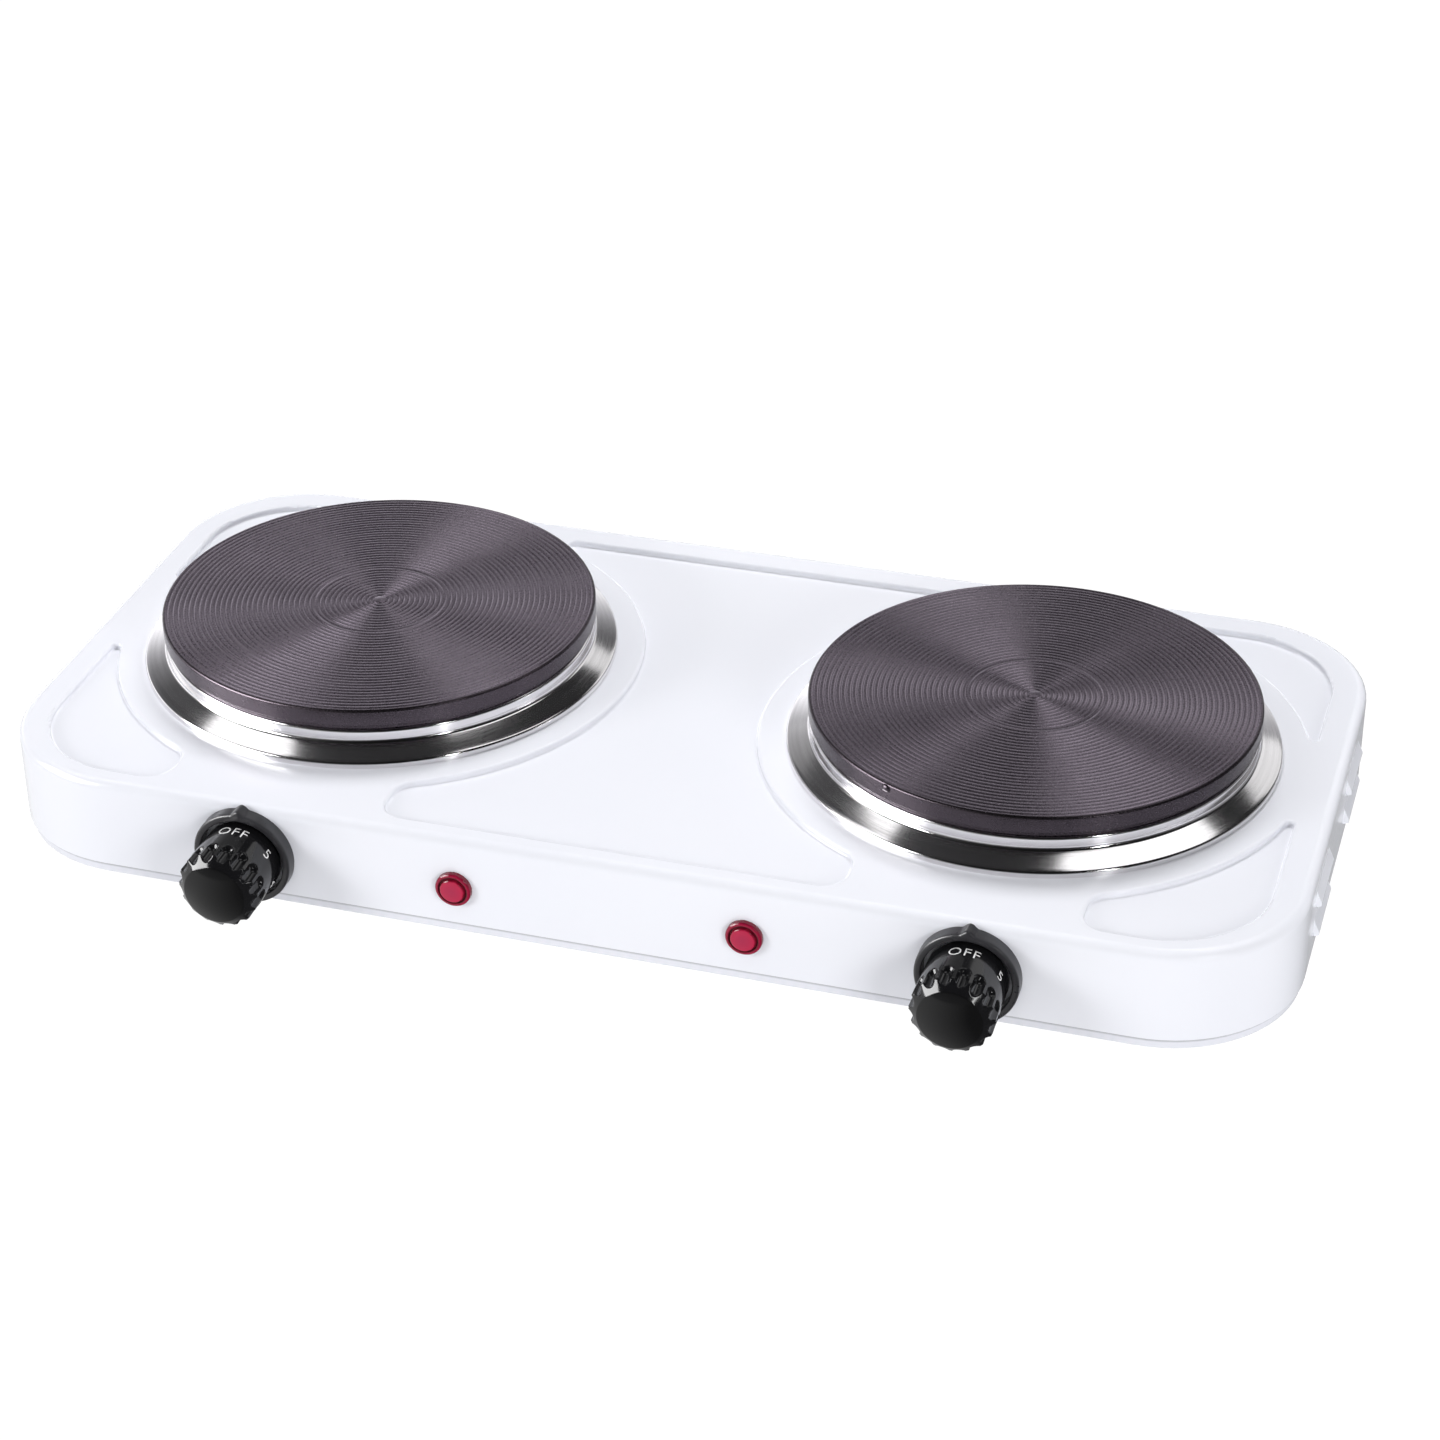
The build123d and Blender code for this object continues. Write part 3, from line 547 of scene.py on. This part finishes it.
def build_knob(side):
    cx, cy, cz = KNOB[side]
    prof, shape, inner = knob_mesh()
    total = len(prof)
    full = prof + inner

    def shp(k, r, v, t):
        if k >= total:
            return r, v
        return shape(total - 1 - k, r, v, t)

    full = [(r if r > 1e-6 else 0.0, v) for r, v in full]
    bm, rings = lathe(full, SCOOPS * 20, out_at(cx, cy, cz), shp)
    # The front dome takes the darker copy of the black: painted shade.
    for f in bm.faces:
        c = f.calc_center_median() * 1000
        rr = math.hypot(c.x - cx, c.z - cz)
        if c.y - cy < -26.9 and rr < 10.75:
            f.material_index = 1
    return finish_piece(f"{side}_scooped_knob", bm, [M["black_gloss"], M["black_face"]], f"{side}_dial", [f"{side}_knob"], 60.0)


def glyph_on_knob(side, text, turn_deg, size, v0):
    """White print, laid on the knob's skirt. turn_deg runs counter-clockwise from the top, seen from the front."""
    cx, cy, cz = KNOB[side]
    cu = bpy.data.curves.new(f"tmp_{text}", "FONT")
    cu.body = text
    cu.size = size
    cu.align_x = "CENTER"
    cu.align_y = "CENTER"
    cu.space_character = 1.12
    cu.resolution_u = 6
    cu.offset = -0.05
    tmp = bpy.data.objects.new(f"tmp_{text}", cu)
    bpy.context.scene.collection.objects.link(tmp)
    bpy.context.view_layer.update()
    me = bpy.data.meshes.new_from_object(tmp)
    bpy.data.objects.remove(tmp)
    bpy.data.curves.remove(cu)
    bm = bmesh.new()
    bm.from_mesh(me)
    bpy.data.meshes.remove(me)
    bmesh.ops.remove_doubles(bm, verts=bm.verts, dist=1e-5)
    bmesh.ops.triangulate(bm, faces=bm.faces)
    for _ in range(3):
        long = [e for e in bm.edges if e.calc_length() > 0.45]
        if not long:
            break
        bmesh.ops.subdivide_edges(bm, edges=long, cuts=1)
        bmesh.ops.triangulate(bm, faces=bm.faces)
    ys = [v.co.y for v in bm.verts]
    mid = (max(ys) + min(ys)) / 2
    ext = bmesh.ops.extrude_face_region(bm, geom=list(bm.faces))
    top = {v for v in ext["geom"] if isinstance(v, bmesh.types.BMVert)}
    for v in bm.verts:
        lift = 0.07 if v in top else -0.08
        r = KNOB_R + lift
        ang = math.radians(90 + turn_deg) - v.co.x / KNOB_R
        v.co = Vector((cx + r * math.cos(ang), cy + v0 + (v.co.y - mid), cz + r * math.sin(ang))) * MM
    return finish_piece(f"{side}_mark_{text}", bm, [M["white_print"]], f"{side}_dial", (), 40.0)


for side in ("left", "right"):
    build_knob(side)
    glyph_on_knob(side, "OFF", 0.0, 5.8, -8.6)
    for i, a in enumerate((100.0, 150.0, 200.0, 250.0, 300.0)):
        glyph_on_knob(side, str(i + 1), a, 5.8, -8.9)


# ------------------------------------------------------------------ collars behind the knobs
def build_bezel(side):
    cx, cy, cz = KNOB[side]
    R, B, D = 17.3, 14.9, 5.0
    prof = [(B, 0.0), (R, 0.0), (R, -2.0), (R - 0.02, -3.2)] + arc(R - 0.9, -D + 0.9, 0.9, 0, -90, 6) + arc(B + 0.5, -D + 0.5, 0.5, -90, -180, 4) + [(B, -2.0)]

    def shape(k, r, v, t):
        d = (t - math.pi / 2 + math.pi) % (2 * math.pi) - math.pi
        x = d * R
        w = max(0.0, 1 - abs(x) / 2.7)
        lift = 1.55 * (w * w * (3 - 2 * w)) ** 0.8
        share = max(0.0, min(1.0, (r - (B + 0.3)) / (R - B - 0.3)))
        front = 0.35 * lift / 1.55 if v < -D + 0.6 else 0.0
        return r + lift * share, v - front * share

    bm, rings = lathe(prof, 240, out_at(cx, cy, cz), shape, closed=True)
    return finish_piece(f"{side}_pointer_collar", bm, [M["black_satin"]], "body", [f"{side}_bezel"], 50.0)


for side in ("left", "right"):
    build_bezel(side)


# ------------------------------------------------------------------ pilot lamp lenses
def build_lens(side):
    cx, cy, cz = LAMP[side]
    prof = [(0.0, -2.95), (1.6, -2.93), (2.8, -2.88), (3.4, -2.82)] + arc(3.75, -2.25, 0.55, -82, -12, 6)
    prof += [(4.42, -1.72), (4.50, -1.60), (4.62, -1.56), (4.76, -1.62), (4.92, -1.80)] + arc(5.35, -1.15, 0.95, -110, 0, 10) + [(6.3, 0.0), (4.95, 0.0), (4.95, 11.0), (3.7, 11.0), (3.7, -0.6), (2.6, -1.2), (0.0, -1.2)]
    bm, rings = lathe(prof, 96, out_at(cx, cy, cz))
    return finish_piece(f"{side}_pilot_lens", bm, [M[f"red_lens_{side}"]], "body", [f"{side}_lamp_lens"], 35.0)


for side in ("left", "right"):
    build_lens(side)


# ------------------------------------------------------------------ floor, light, camera
def build_floor():
    bm = bmesh.new()
    bmesh.ops.create_grid(bm, x_segments=8, y_segments=8, size=6.0)
    me = bpy.data.meshes.new("floor")
    bm.to_mesh(me)
    bm.free()
    n = Nodes("floor_white")
    p = n.coords()
    f = n.noise(p, 3.0, 2.0)
    n.set(color=n.ramp(f, [(0.3, (0.10, 0.10, 0.10)), (0.7, (0.11, 0.11, 0.11))]), rough=0.9, spec=0.0)
    n.link(n.ramp(f, [(0.3, (0.945, 0.945, 0.945)), (0.7, (0.955, 0.955, 0.955))]), n.bsdf.inputs["Emission Color"])
    n.bsdf.inputs["Emission Strength"].default_value = 1.0
    me.materials.append(n.mat)
    obj = bpy.data.objects.new("floor", me)
    bpy.context.scene.collection.objects.link(obj)
    obj.visible_glossy = False
    return obj


build_floor()

world = bpy.data.worlds.new("studio")
bpy.context.scene.world = world
world.use_nodes = True
wt = world.node_tree
bg = next(x for x in wt.nodes if x.type == "BACKGROUND")
tc = wt.nodes.new("ShaderNodeTexCoord")
sep = wt.nodes.new("ShaderNodeSeparateXYZ")
wr = wt.nodes.new("ShaderNodeValToRGB")
wt.links.new(tc.outputs["Generated"], sep.inputs[0])
wt.links.new(sep.outputs[2], wr.inputs["Fac"])
under = wt.nodes.new("ShaderNodeMath")
under.operation = "LESS_THAN"
wt.links.new(sep.outputs[2], under.inputs[0])
under.inputs[1].default_value = -0.02
side_tone = wt.nodes.new("ShaderNodeMapRange")
wt.links.new(sep.outputs[0], side_tone.inputs["Value"])
for key, val in (("From Min", -0.7), ("From Max", 0.3), ("To Min", 0.85), ("To Max", 0.06)):
    side_tone.inputs[key].default_value = val
blend = wt.nodes.new("ShaderNodeMix")
blend.data_type = "RGBA"
wt.links.new(under.outputs[0], blend.inputs[0])
back_tone = wt.nodes.new("ShaderNodeMapRange")
wt.links.new(sep.outputs[1], back_tone.inputs["Value"])
for key, val in (("From Min", -0.5), ("From Max", 0.15), ("To Min", 0.18), ("To Max", 1.0)):
    back_tone.inputs[key].default_value = val
toned = wt.nodes.new("ShaderNodeMix")
toned.data_type = "RGBA"
toned.blend_type = "MULTIPLY"
toned.inputs[0].default_value = 1.0
wt.links.new(wr.outputs["Color"], toned.inputs[6])
wt.links.new(back_tone.outputs["Result"], toned.inputs[7])
right_tone = wt.nodes.new("ShaderNodeMapRange")
wt.links.new(sep.outputs[0], right_tone.inputs["Value"])
for key, val in (("From Min", -0.5), ("From Max", 0.5), ("To Min", 1.45), ("To Max", 0.34)):
    right_tone.inputs[key].default_value = val
eased = wt.nodes.new("ShaderNodeMix")
eased.data_type = "RGBA"
eased.blend_type = "MULTIPLY"
eased.inputs[0].default_value = 1.0
wt.links.new(toned.outputs[2], eased.inputs[6])
wt.links.new(right_tone.outputs["Result"], eased.inputs[7])
wt.links.new(eased.outputs[2], blend.inputs[6])
wt.links.new(side_tone.outputs["Result"], blend.inputs[7])
wt.links.new(blend.outputs[2], bg.inputs["Color"])
els = wr.color_ramp.elements
els[0].position, els[0].color = 0.0, (1.15, 1.15, 1.17, 1.0)
els[1].position, els[1].color = 0.08, (1.10, 1.10, 1.12, 1.0)
for pos, c in ((0.16, 0.75), (0.26, 0.36), (0.36, 0.16), (0.50, 0.06), (0.70, 0.035), (1.0, 0.03)):
    e = els.new(pos)
    e.color = (c, c, c * 1.04, 1.0)
bg.inputs["Strength"].default_value = 1.0


def area(name, loc, target, size, power, along=None, card=False):
    """Rectangular soft light facing the target; its long side may be laid along a direction. A fill gives no mirror image of itself; a card gives nothing else."""
    li = bpy.data.lights.new(name, "AREA")
    li.shape = "RECTANGLE"
    li.size, li.size_y = size
    li.energy = power
    o = bpy.data.objects.new(name, li)
    bpy.context.scene.collection.objects.link(o)
    o.visible_glossy = card
    o.visible_diffuse = not card
    d = (Vector(target) - Vector(loc)).normalized()
    if along is None:
        o.location = loc
        o.rotation_euler = d.to_track_quat("-Z", "Y").to_euler()
        return o
    zz = -d
    xx = (Vector(along) - Vector(along).dot(zz) * zz).normalized()
    yy = zz.cross(xx)
    o.matrix_world = Matrix(((xx.x, yy.x, zz.x, loc[0]), (xx.y, yy.y, zz.y, loc[1]), (xx.z, yy.z, zz.z, loc[2]), (0, 0, 0, 1)))
    return o


def card(name, loc, target, size, level, along=None):
    return area(name, loc, target, size, level * math.pi * size[0] * size[1], along, True)


card("softbox_left", (-0.85, 0.18, 1.22), (-0.14, -0.06, 0.05), (0.34, 0.55), 1.5)
card("softbox_right", (0.574, 0.353, 1.31), (0.16, -0.04, 0.05), (0.85, 0.42), 1.5, (0.72, 0.69, 0.0))
card("front_card_left", (-1.35, -0.77, 0.69), (-0.05, -0.1, 0.03), (1.20, 0.90), 14.0)
card("front_card_right", (1.14, -0.97, 0.73), (0.05, -0.1, 0.03), (0.07, 0.60), 14.0)
card("back_card_near", (0.43, 0.98, 0.53), (-0.10, 0.0, 0.06), (0.60, 0.44), 0.84)
card("back_card_high", (-0.70, 1.40, 0.95), (0.0, 0.0, 0.05), (1.30, 0.80), 0.18)
card("back_card_top", (-0.25, 1.40, 1.62), (0.05, -0.1, 0.03), (0.90, 0.45), 0.8)
area("fill_left", (-0.92, -0.10, 1.20), (-0.14, -0.06, 0.05), (0.50, 0.60), 2.8)
area("fill_right", (0.73, 0.14, 1.30), (0.16, -0.04, 0.05), (0.80, 0.40), 1.2)
area("fill_top", (-0.05, 0.85, 1.15), (0.0, 0.0, 0.05), (0.80, 0.45), 15.6)
area("fill_high_front", (0.00, -0.70, 1.60), (0.0, -0.05, 0.04), (0.80, 0.60), 5.2)
area("fill_front_left", (-1.30, -1.10, 0.60), (-0.05, -0.1, 0.03), (0.60, 0.50), 13.5)
area("fill_front_right", (1.25, -1.25, 0.60), (0.05, -0.1, 0.03), (0.60, 0.50), 13.0)
area("fill_end", (1.60, -0.50, 0.25), (0.2, 0.0, 0.03), (0.60, 0.30), 3.6)

cam_data = bpy.data.cameras.new("photo_camera")
cam = bpy.data.objects.new("photo_camera", cam_data)
bpy.context.scene.collection.objects.link(cam)
YAW, PITCH_A, ROLL, F_PX = 0.300634, 0.547166, -0.010930, 3381.755
C = Vector((310.0745, -972.4271 + Y0, 648.9283 + 8.0)) * MM
fwd = Vector((-math.sin(YAW) * math.cos(PITCH_A), math.cos(YAW) * math.cos(PITCH_A), -math.sin(PITCH_A)))
rt = Vector((math.cos(YAW), math.sin(YAW), 0.0))
up = rt.cross(fwd)
r2 = math.cos(ROLL) * rt + math.sin(ROLL) * up
u2 = -math.sin(ROLL) * rt + math.cos(ROLL) * up
cam.matrix_world = Matrix(((r2.x, u2.x, -fwd.x, C.x), (r2.y, u2.y, -fwd.y, C.y), (r2.z, u2.z, -fwd.z, C.z), (0, 0, 0, 1)))
cam_data.sensor_width = 36.0
cam_data.lens = F_PX / 1440.0 * 36.0
cam_data.clip_start = 0.01
cam_data.clip_end = 50.0
bpy.context.scene.camera = cam
bpy.context.scene.view_settings.view_transform = "Standard"
bpy.context.scene.view_settings.look = "None"
